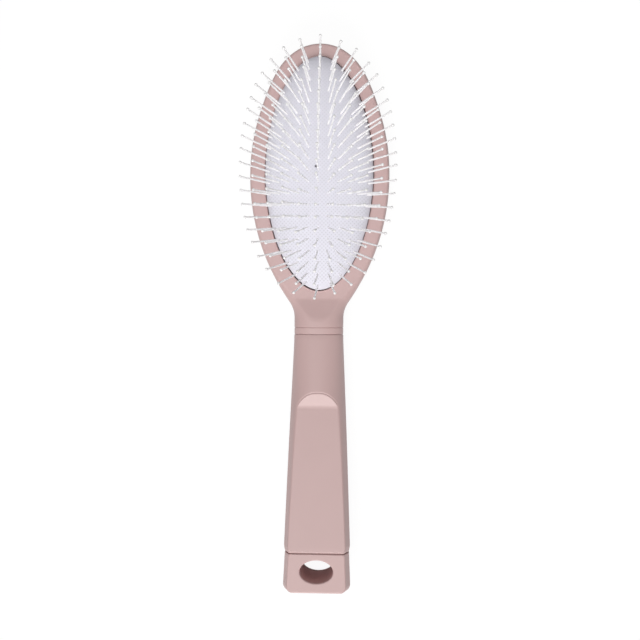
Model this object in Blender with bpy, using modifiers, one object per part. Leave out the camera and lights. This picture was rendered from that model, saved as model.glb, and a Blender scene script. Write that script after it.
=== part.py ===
"""Hair grooming brush: a cushion brush with ball-tipped pins on an oval head, a flat-fronted handle
and an end cap with a hanging hole.

The brush lies on its back. +Z points along the pins, +Y from the handle to the tip of the head and
+X to the right. The origin is on the ground, under the middle of the brush. Lengths are in metres.
"""

import math

import bmesh
import bpy
import numpy as np
from mathutils import Matrix, Vector

MM = 0.001

# Roundness of every cross-section: 2 is an ellipse, more is squarer
SECTION_SHARE = 2.5

# Fits
GAP = 0.3 * MM  # between pieces that touch on the real brush
SLIDE_GAP = 0.4 * MM  # round the cushion and under the facing
OVERRUN = 2.0 * MM  # how far a cutter runs past what it cuts
EDGE_BREAK = 0.4 * MM  # the small step in from a piece's skin at a joint line
WELD = 0.01 * MM  # points closer than this are one point

# Lengths along the brush, from the tail up
CAP_LENGTH = 17.0 * MM
SLEEVE_LENGTH = 93.9 * MM
RING_LENGTH = 3.0 * MM
NECK_LENGTH = 4.7 * MM

# Head, seen from above
HEAD_HALF_WIDTH = 30.6 * MM
HEAD_HALF_LENGTH = 57.5 * MM
FLARE_ANGLE = math.radians(31.0)
NECK_FILLET = 12.0 * MM
NECK_HALF_WIDTH = 10.7 * MM

# Heights of the head and the neck
RIM_HEIGHT = 15.2 * MM
RIM_ALLOWANCE = 0.8 * MM  # milled off the top to leave the flat rim
RIM_ROUNDING = 3.0 * MM
RIM_SIDE_HEIGHT = 11.6 * MM  # where the head is widest
NECK_TOP = 17.2 * MM
NECK_BOTTOM = 2.2 * MM
HEAD_SINK = 0.7 * MM  # how far the domed back is cut flat to rest on
RAMP_RUN = 9.1 * MM  # the sloping flat between neck and rim
RAMP_START = 3.3 * MM  # from the ring to the foot of the ramp

# Opening in the head, and what sits in it
PAD_HALF_WIDTH = 23.85 * MM
PAD_HALF_LENGTH = 51.2 * MM
PAD_SHIFT = 0.25 * MM  # the pad's middle lies this much nearer the tip
PLATE_HEIGHT = 9.2 * MM  # underside of the cushion plate
PLATE_THICKNESS = 1.6 * MM
LEDGE_WIDTH = 3.2 * MM
HOLLOW_FLOOR = 5.0 * MM

# Cushion and its woven facing
CROWN = 10.0 * MM  # facing above the rim, in the middle
FACING_THICKNESS = 0.8 * MM
MEMBRANE = 1.8 * MM
SKIRT_THICKNESS = 3.6 * MM  # cushion's side, below the rim
VENT_RADIUS = 0.8 * MM
CUSHION_EDGE = 0.5 * MM  # cushion above the rim where it tucks in
TUCK = 0.8 * MM  # how far the cushion's side is drawn in below the rim
FACING_MARGIN = 1.1 * MM  # from the pad's edge to the facing's
TUCK_SHARE = 0.985  # where the cushion's dome turns down

# Pins
PIN_LENGTH = 17.0 * MM
PIN_ROOT_RADIUS = 0.55 * MM
PIN_NECK_RADIUS = 0.40 * MM
PIN_BALL_RADIUS = 0.75 * MM
PIN_MARGIN_ACROSS = 2.35 * MM  # from the pad's edge to the outermost roots
PIN_MARGIN_ALONG = 2.3 * MM
ROWS_EACH_WAY = 10  # rows above and below the middle row
PINS_EACH_WAY = 5  # pins left and right of the middle pin, in the longest row
FAN_DEPTH_ACROSS = 22.2 * MM  # pins point away from lines this far below their roots
FAN_DEPTH_ALONG = 121.0 * MM
END_PIN_SPREAD = 5.2 * MM  # the three pins of an end row

# Handle
SLEEVE_START_HALF_WIDTH = 10.9 * MM
SLEEVE_END_HALF_WIDTH = 14.3 * MM
CAP_START_HALF_WIDTH = 14.0 * MM
CAP_HALF_WIDTH = 14.7 * MM
RING_INSET = 0.25 * MM
GRIP_START_CREST = 17.6 * MM
GRIP_END_CREST = 26.0 * MM
GRIP_START_BOTTOM = 2.2 * MM
GRIP_SINK = 0.5 * MM  # how far the tail's back is cut flat to rest on
PANEL_START_HEIGHT = 17.2 * MM
PANEL_END_HEIGHT = 22.0 * MM
SCOOP_START = 25.1 * MM  # from the ring to the top of the arch
SCOOP_RUN = 5.8 * MM

# Inside the handle
TANG_LENGTH = 62.0 * MM
TANG_HALF_WIDTH = 6.6 * MM
TANG_HALF_HEIGHT = 4.4 * MM
SPIGOT_LENGTH = 12.0 * MM
BORE_END_HALF_WIDTH = 10.2 * MM
BORE_END_HALF_HEIGHT = 6.2 * MM

# Cap
HOLE_HALF_WIDTH = 7.3 * MM
HOLE_HALF_LENGTH = 4.85 * MM
HOLE_FROM_TAIL = 9.6 * MM
CAP_CORNER = 3.0 * MM

# Facets
SECTION_POINTS = 40
SECTION_STEPS = 9  # points in a quarter of the head's section
OUTLINE_STEPS = 15
ROUND_STEPS = 48
DOME_STEPS = 9
STRIP_STEPS = 10
SLEEVE_STEPS = 12
CORNER_STEPS = 6
PIN_SIDES = 4
SHARP_ANGLE = math.radians(35.0)

# Stations along Y
HEAD_TURN = math.atan2(math.tan(FLARE_ANGLE) * HEAD_HALF_LENGTH, HEAD_HALF_WIDTH)
FLARE_TOP_X = HEAD_HALF_WIDTH * math.cos(HEAD_TURN)
FLARE_FOOT_X = NECK_HALF_WIDTH + NECK_FILLET * (1 - math.cos(FLARE_ANGLE))
FLARE_RUN = (FLARE_TOP_X - FLARE_FOOT_X) / math.tan(FLARE_ANGLE)
FILLET_RUN = NECK_FILLET * math.sin(FLARE_ANGLE)
LOWER_RUN = HEAD_HALF_LENGTH * math.sin(HEAD_TURN)
HANDLE_LENGTH = CAP_LENGTH + SLEEVE_LENGTH + RING_LENGTH
TOTAL_LENGTH = HANDLE_LENGTH + NECK_LENGTH + FILLET_RUN + FLARE_RUN + LOWER_RUN + HEAD_HALF_LENGTH
TAIL_Y = -TOTAL_LENGTH / 2
CAP_Y = TAIL_Y + CAP_LENGTH
SLEEVE_Y = CAP_Y + SLEEVE_LENGTH
RING_Y = SLEEVE_Y + RING_LENGTH
FILLET_Y = RING_Y + NECK_LENGTH
FLARE_FOOT_Y = FILLET_Y + FILLET_RUN
FLARE_TOP_Y = FLARE_FOOT_Y + FLARE_RUN
HEAD_Y = FLARE_TOP_Y + LOWER_RUN
TIP_Y = HEAD_Y + HEAD_HALF_LENGTH
PAD_Y = HEAD_Y + PAD_SHIFT
RAMP_FOOT_Y = RING_Y + RAMP_START
RAMP_TOP_Y = RAMP_FOOT_Y + RAMP_RUN
ARCH_Y = SLEEVE_Y - SCOOP_START
SCOOP_Y = ARCH_Y - SCOOP_RUN
HOLE_Y = TAIL_Y + HOLE_FROM_TAIL
PIN_FIELD_HALF_WIDTH = PAD_HALF_WIDTH - PIN_MARGIN_ACROSS
PIN_FIELD_HALF_LENGTH = PAD_HALF_LENGTH - PIN_MARGIN_ALONG
GRIP_AXIS_HEIGHT = (NECK_TOP + NECK_BOTTOM) / 2

UP = Vector((0, 0, 1))

ROSE = (0.597, 0.418, 0.407, 1.0)
PALE = (0.80, 0.79, 0.84, 1.0)
WHITE = (0.88, 0.86, 0.85, 1.0)
GREY = (0.35, 0.33, 0.34, 1.0)


def clear_scene():
    for item in list(bpy.data.objects):
        bpy.data.objects.remove(item, do_unlink=True)


def new_collection(name):
    group = bpy.data.collections.new(name)
    bpy.context.scene.collection.children.link(group)
    return group


def material(name, colour, roughness):
    finish = bpy.data.materials.new(name)
    finish.use_nodes = True
    shader = finish.node_tree.nodes["Principled BSDF"]
    shader.inputs["Base Color"].default_value = colour
    shader.inputs["Roughness"].default_value = roughness
    shader.inputs["Metallic"].default_value = 0.0
    return finish


def add_object(name, bm, group, finish=None):
    """Put a bmesh in the scene under a name, with its faces pointing out."""
    bmesh.ops.recalc_face_normals(bm, faces=bm.faces)
    mesh = bpy.data.meshes.new(name)
    bm.to_mesh(mesh)
    bm.free()
    thing = bpy.data.objects.new(name, mesh)
    group.objects.link(thing)
    if finish:
        mesh.materials.append(finish)
        mesh.shade_smooth()
        mesh.set_sharp_from_angle(angle=SHARP_ANGLE)
    else:
        thing.hide_render = True
        thing.display_type = "WIRE"
    return thing


def boolean(thing, other, operation):
    step = thing.modifiers.new(operation.lower() + "_" + other.name, "BOOLEAN")
    step.object = other
    step.operation = operation
    step.solver = "EXACT"


def loft(rings):
    """Join closed rings of equal point counts with quads, and close both ends."""
    bm = bmesh.new()
    rows = [[bm.verts.new(point) for point in ring] for ring in rings]
    count = len(rows[0])
    for low, high in zip(rows, rows[1:]):
        for k in range(count):
            n = (k + 1) % count
            bm.faces.new((low[k], low[n], high[n], high[k]))
    bm.faces.new(rows[0])
    bm.faces.new(rows[-1])
    return bm


def thicken(bm, faces, step):
    """Close an open sheet of faces into a solid by carrying it along one step."""
    grown = bmesh.ops.extrude_face_region(bm, geom=faces)["geom"]
    moved = [item for item in grown if isinstance(item, bmesh.types.BMVert)]
    bmesh.ops.translate(bm, verts=moved, vec=step)
    return bm


def prism(outline, half_width):
    """A flat YZ outline carried across the brush."""
    bm = bmesh.new()
    face = bm.faces.new([bm.verts.new((-half_width, y, z)) for y, z in outline])
    return thicken(bm, [face], (2 * half_width, 0, 0))


def oval_block(half_x, half_y, low, high, centre_y):
    """An upright cylinder with an oval plan."""
    bm = bmesh.new()
    place = Matrix.Translation((0, centre_y, (low + high) / 2)) @ Matrix.Diagonal((half_x, half_y, 1, 1))
    bmesh.ops.create_cone(
        bm, cap_ends=True, segments=ROUND_STEPS, radius1=1, radius2=1, depth=high - low, matrix=place
    )
    return bm


def oval_ring(half_width, half_height, y, middle, points=SECTION_POINTS):
    """An upright oval in the XZ plane at one station."""
    turns = [2 * math.pi * k / points for k in range(points)]
    return [(half_width * math.cos(t), y, middle + half_height * math.sin(t)) for t in turns]


def head_outline():
    """Half outline from the ring to the tip: x, y and where the inward normal meets the middle line."""
    points = [(NECK_HALF_WIDTH, y, y) for y in (RING_Y + GAP, (RING_Y + FILLET_Y) / 2)]
    for lean in np.linspace(0, FLARE_ANGLE, OUTLINE_STEPS // 3):
        x = NECK_HALF_WIDTH + NECK_FILLET * (1 - math.cos(lean))
        y = FILLET_Y + NECK_FILLET * math.sin(lean)
        points.append((x, y, y + x * math.tan(lean)))
    for share in np.linspace(0, 1, OUTLINE_STEPS // 3)[1:]:
        x = FLARE_FOOT_X + (FLARE_TOP_X - FLARE_FOOT_X) * share
        y = FLARE_FOOT_Y + FLARE_RUN * share
        points.append((x, y, y + x * math.tan(FLARE_ANGLE)))
    spine_reach = HEAD_HALF_LENGTH - HEAD_HALF_WIDTH**2 / HEAD_HALF_LENGTH
    for turn in np.linspace(-HEAD_TURN, math.pi / 2, 2 * OUTLINE_STEPS)[1:]:
        x = HEAD_HALF_WIDTH * math.cos(turn)
        y = HEAD_Y + HEAD_HALF_LENGTH * math.sin(turn)
        points.append((x, y, HEAD_Y + spine_reach * math.sin(turn)))
    return points


def smooth(share):
    """Ease from nought to one."""
    share = min(1.0, max(0.0, share))
    return share * share * (3 - 2 * share)


def head_section(x, y, spine):
    """Points from the middle of the top, round the side, to the middle of the back."""
    reach = math.hypot(x, spine - y)
    head = smooth((y - RAMP_TOP_Y) / RAMP_RUN)
    widest = GRIP_AXIS_HEIGHT + (RIM_SIDE_HEIGHT - GRIP_AXIS_HEIGHT) * head
    top = NECK_TOP + (RIM_HEIGHT + RIM_ALLOWANCE - NECK_TOP) * head
    bottom = NECK_BOTTOM + (-HEAD_SINK - NECK_BOTTOM) * smooth((y - RING_Y) / (FLARE_TOP_Y - RING_Y))
    rounding = reach + (RIM_ROUNDING - reach) * head
    power = 2 / SECTION_SHARE
    points = [(0.0, spine, top)]
    for turn in np.linspace(math.pi / 2, 0, SECTION_STEPS)[1:]:
        share = rounding * (1 - math.cos(turn) ** power) / reach
        z = widest + (top - widest) * math.sin(turn) ** power
        points.append((x * (1 - share), y + (spine - y) * share, z))
    for turn in np.linspace(0, math.pi / 2, SECTION_STEPS)[1:-1]:
        share = 1 - math.cos(turn) ** power
        z = widest + (bottom - widest) * math.sin(turn) ** power
        points.append((x * (1 - share), y + (spine - y) * share, max(z, 0.0)))
    points.append((0.0, spine, max(bottom, 0.0)))
    return points


def half_head():
    """The right half of the head and neck, lofted between its sections and open at the middle plane."""
    bm = bmesh.new()
    rows = [[bm.verts.new(p) for p in head_section(*point)] for point in head_outline()]
    for low, high in zip(rows, rows[1:]):
        for k in range(len(low) - 1):
            bm.faces.new((low[k], low[k + 1], high[k + 1], high[k]))
    bm.faces.new(rows[0])
    bmesh.ops.remove_doubles(bm, verts=bm.verts, dist=WELD)
    return bm


def ramp_cutter():
    """All that lies above the rim and above the ramp that climbs to the neck's top."""
    slope = (NECK_TOP - RIM_HEIGHT) / RAMP_RUN
    high = NECK_TOP + CROWN
    back = RAMP_TOP_Y - (high - RIM_HEIGHT) / slope
    outline = [(RAMP_TOP_Y, RIM_HEIGHT), (back, high), (TIP_Y + OVERRUN, high), (TIP_Y + OVERRUN, RIM_HEIGHT)]
    return prism(outline, HEAD_HALF_WIDTH + OVERRUN)


def grip_share(y):
    """Nought at the ring, one at the parting line."""
    return (SLEEVE_Y - y) / SLEEVE_LENGTH


def grip_section(y, inset=0.0):
    """The handle's rounded section at one station, flat where it rests on its back."""
    share = grip_share(y)
    if share > 1:
        half = CAP_START_HALF_WIDTH + (CAP_HALF_WIDTH - CAP_START_HALF_WIDTH) * (CAP_Y - y) / CAP_LENGTH
    else:
        half = SLEEVE_START_HALF_WIDTH + (SLEEVE_END_HALF_WIDTH - SLEEVE_START_HALF_WIDTH) * share
    top = GRIP_START_CREST + (GRIP_END_CREST - GRIP_START_CREST) * share
    bottom = GRIP_START_BOTTOM + (-GRIP_SINK - GRIP_START_BOTTOM) * min(share, 1.0)
    ring = []
    for k in range(SECTION_POINTS):
        turn = 2 * math.pi * k / SECTION_POINTS
        c, s = math.cos(turn), math.sin(turn)
        x = (half - inset) * math.copysign(abs(c) ** (2 / SECTION_SHARE), c)
        z = (top + bottom) / 2
        z += ((top - bottom) / 2 - inset) * math.copysign(abs(s) ** (2 / SECTION_SHARE), s)
        ring.append((x, y, max(z, 0.0)))
    return ring


def panel_height(y):
    """The flat front panel's height above the ground."""
    share = (SCOOP_Y - y) / (SCOOP_Y - TAIL_Y)
    return PANEL_START_HEIGHT + (PANEL_END_HEIGHT - PANEL_START_HEIGHT) * share


def panel_cutter():
    """All that lies above the flat panel and above the scoop that ends it in an arch."""
    crest = max(z for _, _, z in grip_section(ARCH_Y))
    slope = (crest - PANEL_START_HEIGHT) / SCOOP_RUN
    high = GRIP_END_CREST + CROWN
    low_y = TAIL_Y - OVERRUN
    outline = [
        (low_y, panel_height(low_y)),
        (SCOOP_Y, PANEL_START_HEIGHT),
        (SCOOP_Y + (high - PANEL_START_HEIGHT) / slope, high),
        (low_y, high),
    ]
    return prism(outline, CAP_HALF_WIDTH + OVERRUN)


def bore_size(y):
    """Half width and half height of the sleeve's bore, which opens towards the tail."""
    share = min(max(grip_share(y), 0.0), 1.0)
    wide = TANG_HALF_WIDTH + SLIDE_GAP
    tall = TANG_HALF_HEIGHT + SLIDE_GAP
    return wide + (BORE_END_HALF_WIDTH - wide) * share, tall + (BORE_END_HALF_HEIGHT - tall) * share


def bore_middle(y):
    """Height of the bore's axis."""
    share = min(max(grip_share(y), 0.0), 1.0)
    return GRIP_AXIS_HEIGHT + (PANEL_END_HEIGHT / 2 - GRIP_AXIS_HEIGHT) * share


def bore_body(low_y, high_y, inset=0.0):
    """The bore between two stations, or what slides in it when an inset is given."""
    rings = []
    for y in (low_y, high_y):
        wide, tall = bore_size(y)
        rings.append(oval_ring(wide - inset, tall - inset, y, bore_middle(y), ROUND_STEPS // 2))
    return loft(rings)


def dome(x, y):
    """Height of the facing's upper face over a point of the pad."""
    spread = (x / PAD_HALF_WIDTH) ** 2 + ((y - PAD_Y) / PAD_HALF_LENGTH) ** 2
    return RIM_HEIGHT + CROWN * math.sqrt(max(0.0, 1 - spread))


def build_head(parts, tools, finish):
    head = add_object("head_frame", half_head(), parts, finish)
    mirrored = head.modifiers.new("mirrored", "MIRROR")
    mirrored.merge_threshold = WELD
    boolean(head, add_object("ramp_cutter", ramp_cutter(), tools), "DIFFERENCE")
    well = oval_block(PAD_HALF_WIDTH, PAD_HALF_LENGTH, PLATE_HEIGHT - GAP, RIM_HEIGHT + OVERRUN, PAD_Y)
    boolean(head, add_object("well_cutter", well, tools), "DIFFERENCE")
    hollow_x = PAD_HALF_WIDTH - LEDGE_WIDTH
    hollow_y = PAD_HALF_LENGTH - LEDGE_WIDTH
    hollow = oval_block(hollow_x, hollow_y, HOLLOW_FLOOR, PLATE_HEIGHT + OVERRUN, PAD_Y)
    boolean(head, add_object("hollow_cutter", hollow, tools), "DIFFERENCE")
    tang = bore_body(SLEEVE_Y - TANG_LENGTH, RING_Y + OVERRUN, SLIDE_GAP)
    boolean(head, add_object("tang", tang, tools), "UNION")


def build_plate(parts, finish):
    half_x = PAD_HALF_WIDTH - SLIDE_GAP
    half_y = PAD_HALF_LENGTH - SLIDE_GAP
    plate = oval_block(half_x, half_y, PLATE_HEIGHT, PLATE_HEIGHT + PLATE_THICKNESS, PAD_Y)
    add_object("cushion_plate", plate, parts, finish)


def build_cushion(parts, finish):
    """A membrane turned about its vent hole: domed over the rim, drawn in below it, open underneath."""
    wide = PAD_HALF_WIDTH - SLIDE_GAP
    foot = PLATE_HEIGHT + PLATE_THICKNESS + GAP
    drop = FACING_THICKNESS + SLIDE_GAP
    vent = VENT_RADIUS / wide
    outer = []
    for turn in np.linspace(math.asin(vent), math.asin(TUCK_SHARE), DOME_STEPS):
        outer.append((math.sin(turn), RIM_HEIGHT + CROWN * math.cos(turn) - drop))
    outer += [(1.0, RIM_HEIGHT + CUSHION_EDGE), (1.0, RIM_HEIGHT), (1 - TUCK / wide, (RIM_HEIGHT + foot) / 2)]
    outer += [(1.0, foot + GAP), (1.0, foot)]
    skirt = SKIRT_THICKNESS / wide
    inner = [(1 - skirt, foot), (1 - skirt, RIM_HEIGHT)]
    for turn in np.linspace(math.asin(TUCK_SHARE - skirt), math.asin(vent), DOME_STEPS):
        inner.append((math.sin(turn), RIM_HEIGHT + (CROWN - drop - MEMBRANE) * math.cos(turn)))
    mesh = bpy.data.meshes.new("cushion")
    profile = outer + inner
    count = len(profile)
    edges = [(k, (k + 1) % count) for k in range(count)]
    mesh.from_pydata([(radius, 0, z) for radius, z in profile], edges, [])
    mesh.materials.append(finish)
    cushion = bpy.data.objects.new("cushion", mesh)
    parts.objects.link(cushion)
    turned = cushion.modifiers.new("turned", "SCREW")
    turned.steps = turned.render_steps = ROUND_STEPS
    turned.use_merge_vertices = True
    turned.merge_threshold = WELD
    turned.use_smooth_shade = True
    cushion.location = (0, PAD_Y, 0)
    cushion.scale = (wide, PAD_HALF_LENGTH - SLIDE_GAP, 1)


def pin_body():
    """One pin along +Z, rooted just below nought: a tapered shank and a ball tip, turned in four steps."""
    root = -FACING_THICKNESS / 2
    neck = PIN_LENGTH - 2 * PIN_BALL_RADIUS
    profile = [(0, root), (PIN_ROOT_RADIUS, root), (PIN_NECK_RADIUS, neck)]
    profile += [(PIN_BALL_RADIUS, neck + PIN_BALL_RADIUS), (0, PIN_LENGTH)]
    bm = bmesh.new()
    points = [bm.verts.new((radius, 0, z)) for radius, z in profile]
    edges = [bm.edges.new(pair) for pair in zip(points, points[1:])]
    bmesh.ops.spin(bm, geom=points + edges, axis=(0, 0, 1), steps=PIN_SIDES, angle=math.tau, use_merge=True)
    bmesh.ops.remove_doubles(bm, verts=bm.verts, dist=WELD)
    bmesh.ops.recalc_face_normals(bm, faces=bm.faces)
    mesh = bpy.data.meshes.new("pin")
    bm.to_mesh(mesh)
    bm.free()
    return mesh


def row_pins(row):
    """Root points of one row, evenly spaced across the pad."""
    last = abs(row) == ROWS_EACH_WAY
    offset = PIN_FIELD_HALF_LENGTH * row / ROWS_EACH_WAY
    if last:
        inner = PIN_FIELD_HALF_LENGTH * math.sqrt(1 - (END_PIN_SPREAD / PIN_FIELD_HALF_WIDTH) ** 2)
        inner = math.copysign(inner, row)
        return [(-END_PIN_SPREAD, PAD_Y + inner), (0, PAD_Y + offset), (END_PIN_SPREAD, PAD_Y + inner)]
    reach = PIN_FIELD_HALF_WIDTH * math.sqrt(1 - (offset / PIN_FIELD_HALF_LENGTH) ** 2)
    each_way = round(reach / PIN_FIELD_HALF_WIDTH * PINS_EACH_WAY)
    return [(reach * k / each_way, PAD_Y + offset) for k in range(-each_way, each_way + 1)]


def facing_strip(row):
    """The row's slice of the facing: a band that follows the dome, cut to the facing's oval."""
    pitch = PIN_FIELD_HALF_LENGTH / ROWS_EACH_WAY
    middle = PAD_Y + pitch * row
    wide = PAD_HALF_WIDTH - FACING_MARGIN
    far = PAD_HALF_LENGTH - FACING_MARGIN
    low = max(middle - pitch / 2 + GAP / 2, PAD_Y - far + GAP)
    high = min(middle + pitch / 2 - GAP / 2, PAD_Y + far - GAP)
    bm = bmesh.new()
    sides = []
    for y in (low, high):
        half = wide * math.sqrt(1 - ((y - PAD_Y) / far) ** 2)
        across = [half * math.sin(turn) for turn in np.linspace(-math.pi / 2, math.pi / 2, STRIP_STEPS + 1)]
        sides.append([bm.verts.new((x, y, dome(x, y) - FACING_THICKNESS)) for x in across])
    near, away = sides
    sheet = [bm.faces.new((near[k], near[k + 1], away[k + 1], away[k])) for k in range(STRIP_STEPS)]
    return thicken(bm, sheet, (0, 0, FACING_THICKNESS))


def build_rows(parts, tools, finish):
    """Each row of pins joined to its slice of the facing, all carried by one bed on the press axis."""
    bed = bpy.data.objects.new("pin_bed", None)
    parts.objects.link(bed)
    bed.location = (0, PAD_Y, RIM_HEIGHT)
    pin = pin_body()
    for row in range(-ROWS_EACH_WAY, ROWS_EACH_WAY + 1):
        label = f"{row + ROWS_EACH_WAY + 1:02d}"
        strip = add_object("pin_row_" + label, facing_strip(row), parts, finish)
        strip.parent = bed
        strip.matrix_parent_inverse = Matrix.Translation(bed.location).inverted()
        bm = bmesh.new()
        for x, y in row_pins(row):
            aim = Vector((x / FAN_DEPTH_ACROSS, (y - PAD_Y) / FAN_DEPTH_ALONG, 1))
            turn = UP.rotation_difference(aim).to_matrix().to_4x4()
            one = bmesh.new()
            one.from_mesh(pin)
            bmesh.ops.transform(one, matrix=Matrix.Translation((x, y, dome(x, y))) @ turn, verts=one.verts)
            copy = bpy.data.meshes.new("pin_copy")
            one.to_mesh(copy)
            one.free()
            bm.from_mesh(copy)
            bpy.data.meshes.remove(copy)
        boolean(strip, add_object("pins_" + label, bm, tools), "UNION")


def build_ring(parts, tools, finish):
    low, high = SLEEVE_Y + GAP, RING_Y
    soft = min(EDGE_BREAK, (high - low) / 4)
    stations = [(low, soft), (low + soft, 0), (high - soft, 0), (high, soft)]
    ring = loft([oval_grip(y, RING_INSET + step) for y, step in stations])
    ring = add_object("neck_ring", ring, parts, finish)
    wide, tall = bore_size(SLEEVE_Y)
    middle = GRIP_AXIS_HEIGHT
    bore = loft([oval_ring(wide, tall, y, middle) for y in (low - OVERRUN, high + OVERRUN)])
    boolean(ring, add_object("ring_bore", bore, tools), "DIFFERENCE")


def oval_grip(y, inset):
    """The neck's own section, which the ring shares."""
    ring = []
    for k in range(SECTION_POINTS):
        turn = 2 * math.pi * k / SECTION_POINTS
        c, s = math.cos(turn), math.sin(turn)
        x = (NECK_HALF_WIDTH - inset) * math.copysign(abs(c) ** (2 / SECTION_SHARE), c)
        tall = (NECK_TOP - NECK_BOTTOM) / 2 - inset
        z = GRIP_AXIS_HEIGHT + tall * math.copysign(abs(s) ** (2 / SECTION_SHARE), s)
        ring.append((x, y, z))
    return ring


def build_sleeve(parts, tools, finish):
    low, high = CAP_Y + GAP / 2, SLEEVE_Y
    stations = [(low, EDGE_BREAK), (low + EDGE_BREAK, 0)]
    stations += [(low + (high - low) * share, 0) for share in np.linspace(0, 1, SLEEVE_STEPS)[1:-1]]
    stations += [(high - EDGE_BREAK, 0), (high, EDGE_BREAK)]
    sleeve = loft([grip_section(y, inset) for y, inset in stations])
    sleeve = add_object("grip_sleeve", sleeve, parts, finish)
    boolean(sleeve, bpy.data.objects["panel_cutter"], "DIFFERENCE")
    wide_end = bore_body(CAP_Y - OVERRUN, SLEEVE_Y + OVERRUN)
    boolean(sleeve, add_object("sleeve_bore", wide_end, tools), "DIFFERENCE")


def build_cap(parts, tools, finish):
    high = CAP_Y - GAP / 2
    rings = []
    for turn in np.linspace(0, math.pi / 2, CORNER_STEPS):
        y = TAIL_Y + CAP_CORNER * (1 - math.cos(turn))
        rings.append(grip_section(y, CAP_CORNER * (1 - math.sin(turn))))
    rings.append(grip_section((TAIL_Y + high) / 2))
    rings.append(grip_section(high - EDGE_BREAK))
    rings.append(grip_section(high, EDGE_BREAK))
    cap = add_object("end_cap", loft(rings), parts, finish)
    boolean(cap, bpy.data.objects["panel_cutter"], "DIFFERENCE")
    hole = oval_block(HOLE_HALF_WIDTH, HOLE_HALF_LENGTH, -OVERRUN, GRIP_END_CREST + OVERRUN, HOLE_Y)
    boolean(cap, add_object("hanging_hole", hole, tools), "DIFFERENCE")
    spigot = bore_body(high - OVERRUN / 2, CAP_Y + SPIGOT_LENGTH, GAP)
    boolean(cap, add_object("spigot", spigot, tools), "UNION")


def main():
    clear_scene()
    parts = new_collection("hair_brush")
    tools = new_collection("cutters")
    rose_head = material("rose_head", ROSE, 0.45)
    add_object("panel_cutter", panel_cutter(), tools)
    build_head(parts, tools, rose_head)
    build_plate(parts, material("plate", GREY, 0.5))
    build_cushion(parts, material("cushion", PALE, 0.8))
    build_rows(parts, tools, material("pins", WHITE, 0.3))
    build_ring(parts, tools, material("rose_ring", ROSE, 0.45))
    build_sleeve(parts, tools, material("rose_sleeve", ROSE, 0.45))
    build_cap(parts, tools, material("rose_cap", ROSE, 0.45))


main()
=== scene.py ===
"""Looks of the hair grooming brush, worked round its packed construction.

Every new piece is a surface over a grid of two parameters, in the frame of the construction: +Z along
the pins, +Y from the handle to the tip of the head, lengths in metres.
"""

import math

import bmesh
import bpy
import numpy as np
from mathutils import Matrix, Vector


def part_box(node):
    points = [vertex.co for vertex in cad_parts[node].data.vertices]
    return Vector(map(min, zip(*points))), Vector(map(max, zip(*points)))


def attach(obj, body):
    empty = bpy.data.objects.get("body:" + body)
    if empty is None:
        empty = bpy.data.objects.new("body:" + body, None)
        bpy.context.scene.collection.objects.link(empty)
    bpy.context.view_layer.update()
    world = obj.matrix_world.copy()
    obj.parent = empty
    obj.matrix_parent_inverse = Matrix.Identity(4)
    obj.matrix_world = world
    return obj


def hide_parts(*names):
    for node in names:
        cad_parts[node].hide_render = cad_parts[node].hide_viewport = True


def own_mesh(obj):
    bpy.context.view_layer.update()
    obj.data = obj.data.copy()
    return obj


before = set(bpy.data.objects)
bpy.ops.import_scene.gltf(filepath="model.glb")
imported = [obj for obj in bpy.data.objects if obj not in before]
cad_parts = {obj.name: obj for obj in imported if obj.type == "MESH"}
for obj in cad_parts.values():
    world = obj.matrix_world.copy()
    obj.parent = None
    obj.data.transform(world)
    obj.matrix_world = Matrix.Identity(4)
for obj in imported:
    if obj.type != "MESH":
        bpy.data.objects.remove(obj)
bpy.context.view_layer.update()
join = np.concatenate

MM = 0.001

# Fits and roundness, as in the construction
GAP = 0.3 * MM
SLIDE_GAP = 0.4 * MM
TOUCH = 0.01 * MM  # left between faces that meet
WELD = 0.002 * MM
ROUNDNESS = 2.5  # exponent of a plain cross-section: 2 is an ellipse, more is squarer

# Stations along the brush, read from the construction
TAIL_ALLOWANCE = 0.2 * MM  # the cap looks a little shorter than its plain solid
PARTING_ALLOWANCE = 0.15 * MM  # and its parting line a little lower
TAIL_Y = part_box("end_cap")[0].y + TAIL_ALLOWANCE
CAP_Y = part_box("grip_sleeve")[0].y - GAP / 2 - PARTING_ALLOWANCE
SLEEVE_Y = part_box("grip_sleeve")[1].y
RING_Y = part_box("neck_ring")[1].y
TIP_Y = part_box("head_frame")[1].y
HEAD_HALF_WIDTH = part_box("head_frame")[1].x
PLATE_LOW, PLATE_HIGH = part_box("cushion_plate")
PAD_Y = (PLATE_LOW.y + PLATE_HIGH.y) / 2
PAD_HALF_WIDTH = PLATE_HIGH.x + SLIDE_GAP
PAD_HALF_LENGTH = (PLATE_HIGH.y - PLATE_LOW.y) / 2 + SLIDE_GAP

# Head and neck
HEAD_HALF_LENGTH = 57.5 * MM
HEAD_Y = TIP_Y - HEAD_HALF_LENGTH
FLARE_ANGLE = math.radians(34.2)
NECK_LENGTH = 4.4 * MM
NECK_FILLET = 12.0 * MM
FLARE_LENGTH = 33.3 * MM  # from the ring to where the head's oval takes over
NECK_HALF_WIDTH = 10.77 * MM
NECK_TOP = 17.2 * MM
NECK_BOTTOM = 2.2 * MM
RIM_HEIGHT = 15.2 * MM
RIM_ALLOWANCE = 0.8 * MM  # of the rounded side over the rim
RIM_ROUNDING = 3.0 * MM
RIM_SIDE_HEIGHT = 11.6 * MM  # where the head is widest
HEAD_SINK = 0.7 * MM  # of its back under the flat strip that it lies on
RAMP_RUN = 9.1 * MM
RAMP_START = 3.3 * MM
LIP_HEIGHT = 0.16 * MM  # bead round the opening
LIP_WIDTH = 0.60 * MM
TANG_LENGTH = 62.0 * MM
TANG_HALF_WIDTH = 6.6 * MM
TANG_HALF_HEIGHT = 4.4 * MM

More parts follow.
